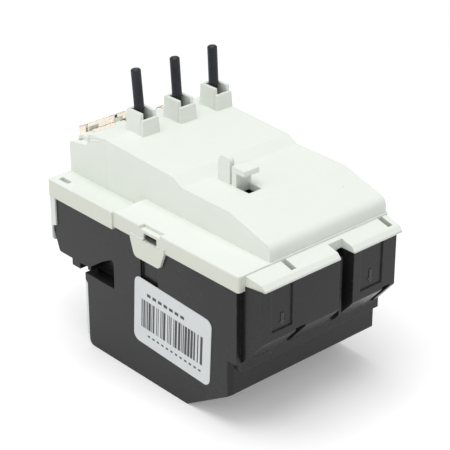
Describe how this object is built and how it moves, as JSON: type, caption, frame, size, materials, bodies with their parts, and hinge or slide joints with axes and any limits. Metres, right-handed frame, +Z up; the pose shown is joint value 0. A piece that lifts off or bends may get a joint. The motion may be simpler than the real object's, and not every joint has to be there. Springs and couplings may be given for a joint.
{
  "type": "thermal overload relay",
  "caption": "Three-pole plug-in thermal overload relay with line pins on top, screw terminals, dial, buttons and a hinged clear cover.",
  "frame": {"origin": "centre of the bounding box in plan, at the face the relay stands on", "axes": "+Z up along the line pins, -Y towards the operator, +Y towards the mounting panel, +X to the operator's right"},
  "size_m": [0.056, 0.0892, 0.0774],
  "materials": {
    "black_housing": "moulded glass-filled nylon, fine satin grain",
    "white_cover": "moulded satin plastic",
    "clear_cover": "clear amber-tinted moulding",
    "panel_plastic": "moulded satin plastic",
    "dial_white": "smooth moulded plastic",
    "button_blue": "smooth moulded plastic",
    "button_red": "smooth moulded plastic",
    "flag_orange": "moulded plastic",
    "slide_plastic": "natural moulded plastic",
    "pin_copper": "darkened copper",
    "load_copper": "bare copper",
    "heater_strip": "resistance strip",
    "bimetal": "rolled strip",
    "cage_steel": "zinc-plated pressed steel",
    "screw_steel": "zinc-plated, yellow-clear",
    "steel_small": "drawn steel",
    "spring_steel": "drawn wire and strip",
    "contact_brass": "rolled strip with silver-faced tips",
    "label_paper": "coated paper sticker"
  },
  "bodies": {
    "housing": {"base_housing": "black_housing", "top_cover": "white_cover", "hanging_hook": "white_cover", "cover_hinge_pin": "steel_small", "operator_panel": "panel_plastic", "reset_spring": "spring_steel", "stop_spring": "spring_steel", "terminal_screws": "screw_steel", "terminal_plate": "panel_plastic", "aux_terminal_clamps": "screw_steel", "aux_terminal_screws": "screw_steel", "compensator_pin": "steel_small", "trip_lever_pin": "steel_small", "nc_fixed_contact": "contact_brass", "no_fixed_contact": "contact_brass", "snap_spring": "spring_steel", "side_label": "label_paper", "line_bar_1": "pin_copper", "heater_1": "heater_strip", "bimetal_strip_1": "bimetal", "load_bar_1": "load_copper", "terminal_cage_1": "cage_steel", "line_bar_2": "pin_copper", "heater_2": "heater_strip", "bimetal_strip_2": "bimetal", "load_bar_2": "load_copper", "terminal_cage_2": "cage_steel", "line_bar_3": "pin_copper", "heater_3": "heater_strip", "bimetal_strip_3": "bimetal", "load_bar_3": "load_copper", "terminal_cage_3": "cage_steel"},
    "cover": {"clear_cover": "clear_cover"},
    "dial": {"current_dial": "dial_white"},
    "reset": {"reset_button": "button_blue"},
    "stop": {"stop_button": "button_red"},
    "selector": {"mode_selector": "dial_white"},
    "trip_slide": {"trip_bar": "slide_plastic"},
    "return_slide": {"return_bar": "slide_plastic"},
    "differential": {"differential_lever": "slide_plastic"},
    "compensator": {"compensating_lever": "bimetal"},
    "trip_crank": {"trip_lever": "slide_plastic", "nc_moving_contact": "contact_brass", "no_moving_contact": "contact_brass"},
    "flag": {"trip_flag": "flag_orange"}
  },
  "joints": [
    {"name": "cover_hinge", "type": "hinge", "parent": "housing", "child": "cover", "pos_m": [-0.0044, -0.0394, 0.0559], "axis": [-1, 0, 0], "range_deg": [0, 62]},
    {"name": "dial_turn", "type": "hinge", "parent": "housing", "child": "dial", "pos_m": [0.00602, -0.038, 0.0464], "axis": [0, 1, 0], "range_deg": [-135, 135]},
    {"name": "reset_press", "type": "slide", "parent": "housing", "child": "reset", "axis": [0, 1, 0], "range_m": [0, 0.0025], "stiffness_N_per_m": 400, "springref_m": -0.002, "deforming": ["reset_spring"]},
    {"name": "stop_press", "type": "slide", "parent": "housing", "child": "stop", "axis": [0, 1, 0], "range_m": [0, 0.002], "stiffness_N_per_m": 400, "springref_m": -0.002, "deforming": ["stop_spring"]},
    {"name": "selector_turn", "type": "hinge", "parent": "housing", "child": "selector", "pos_m": [-0.00735, -0.038, 0.0505], "axis": [0, 1, 0], "range_deg": [0, 90]},
    {"name": "trip_travel", "type": "slide", "parent": "housing", "child": "trip_slide", "axis": [1, 0, 0], "range_m": [0, 0.002]},
    {"name": "return_travel", "type": "slide", "parent": "housing", "child": "return_slide", "axis": [1, 0, 0], "range_m": [0, 0.001]},
    {"name": "differential_turn", "type": "hinge", "parent": "trip_slide", "child": "differential", "pos_m": [0.0185, 0.0207, 0.042], "axis": [0, 0, -1], "range_deg": [0, 3.29]},
    {"name": "compensator_turn", "type": "hinge", "parent": "housing", "child": "compensator", "pos_m": [0.0226, -0.01, 0.036], "axis": [0, 0, -1], "range_deg": [0, 3.91]},
    {"name": "crank_turn", "type": "hinge", "parent": "housing", "child": "trip_crank", "pos_m": [0.0175, -0.016, 0.035], "axis": [0, 0, -1], "range_deg": [0, 6.21]},
    {"name": "flag_travel", "type": "slide", "parent": "housing", "child": "flag", "axis": [-1, 0, 0], "range_m": [0, 0.00161]}
  ],
  "couplings": [
    {"joint": "return_travel", "follows": "trip_travel", "ratio": 0.5},
    {"joint": "differential_turn", "follows": "trip_travel", "rad_per_m": 28.571},
    {"joint": "compensator_turn", "follows": "trip_travel", "rad_per_m": 33.913},
    {"joint": "crank_turn", "follows": "trip_travel", "rad_per_m": 54.059},
    {"joint": "flag_travel", "follows": "trip_travel", "ratio": 0.8001}
  ]
}
